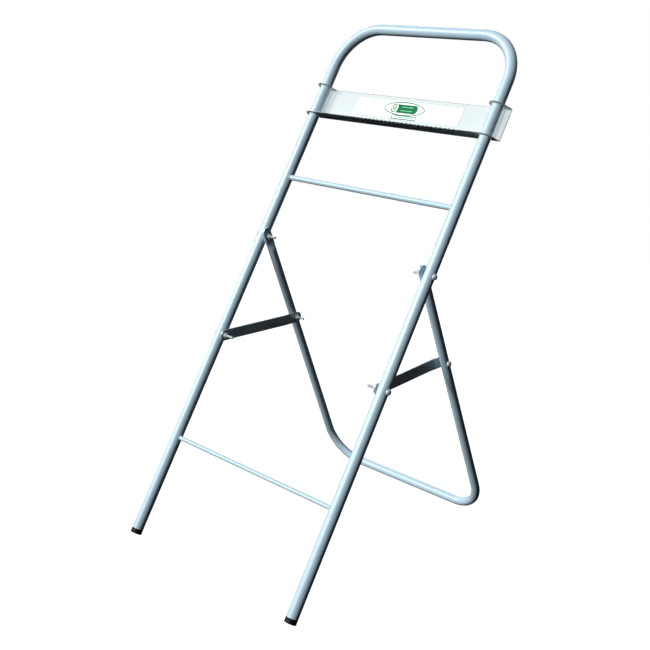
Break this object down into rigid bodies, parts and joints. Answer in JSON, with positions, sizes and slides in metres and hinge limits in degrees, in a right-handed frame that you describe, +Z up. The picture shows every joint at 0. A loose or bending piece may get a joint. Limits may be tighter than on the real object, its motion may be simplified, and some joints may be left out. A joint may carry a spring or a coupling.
{
  "type": "paper roll floor stand",
  "caption": "Leaning tube floor stand for a wide paper roll: tall front frame, hinged U-shaped rear frame, strip links and a sliding serrated tear bar.",
  "frame": {"origin": "on the floor, in the middle of the whole object's box", "axes": "+Z up, +X across the stand, to the right of a person facing it, +Y from the front feet to the rear frame"},
  "size_m": [0.559, 0.7094, 1.1008],
  "materials": {
    "silver_paint": "satin silver-blue paint",
    "link_steel": "zinc-plated strip with a rolled grain",
    "white_paint": "semi-gloss white",
    "label_film": "printed self-adhesive film",
    "zinc_plate": "bright zinc plate",
    "black_plastic": "moulded"
  },
  "bodies": {
    "front_frame": {"front_tube": "silver_paint", "upper_crossbar": "silver_paint", "lower_rod": "silver_paint", "foot_cap_left": "black_plastic", "pivot_bolt_left": "zinc_plate", "pivot_washer_left": "zinc_plate", "pivot_nut_left": "zinc_plate", "link_front_bolt_left": "zinc_plate", "link_front_washer_left": "zinc_plate", "link_front_nut_left": "zinc_plate", "foot_cap_right": "black_plastic", "pivot_bolt_right": "zinc_plate", "pivot_washer_right": "zinc_plate", "pivot_nut_right": "zinc_plate", "link_front_bolt_right": "zinc_plate", "link_front_washer_right": "zinc_plate", "link_front_nut_right": "zinc_plate"},
    "rear_frame": {"rear_tube": "silver_paint", "link_rear_bolt_left": "zinc_plate", "link_rear_washer_left": "zinc_plate", "link_rear_nut_left": "zinc_plate", "link_rear_bolt_right": "zinc_plate", "link_rear_washer_right": "zinc_plate", "link_rear_nut_right": "zinc_plate"},
    "link_left": {"link_left": "link_steel"},
    "link_right": {"link_right": "link_steel"},
    "tear_bar": {"tear_channel": "white_paint", "label": "label_film"}
  },
  "joints": [
    {"name": "rear_fold", "type": "hinge", "parent": "front_frame", "child": "rear_frame", "pos_m": [0, 0.04949, 0.62706], "axis": [-1, 0, 0], "range_deg": [0, 20]},
    {"name": "link_left_drop", "type": "hinge", "parent": "front_frame", "child": "link_left", "pos_m": [0, -0.08474, 0.41556], "axis": [-1, 0, 0], "range_deg": [0, 90]},
    {"name": "link_right_drop", "type": "hinge", "parent": "front_frame", "child": "link_right", "pos_m": [0, -0.08474, 0.41556], "axis": [-1, 0, 0], "range_deg": [0, 90]},
    {"name": "tear_bar_slide", "type": "slide", "parent": "front_frame", "child": "tear_bar", "axis": [0, 0.5358, 0.8443], "range_m": [-0.15, 0.05]}
  ],
  "couplings": [
    {"joint": "link_left_drop", "follows": "rear_fold", "ratio": 4.5},
    {"joint": "link_right_drop", "follows": "rear_fold", "ratio": 4.5}
  ]
}
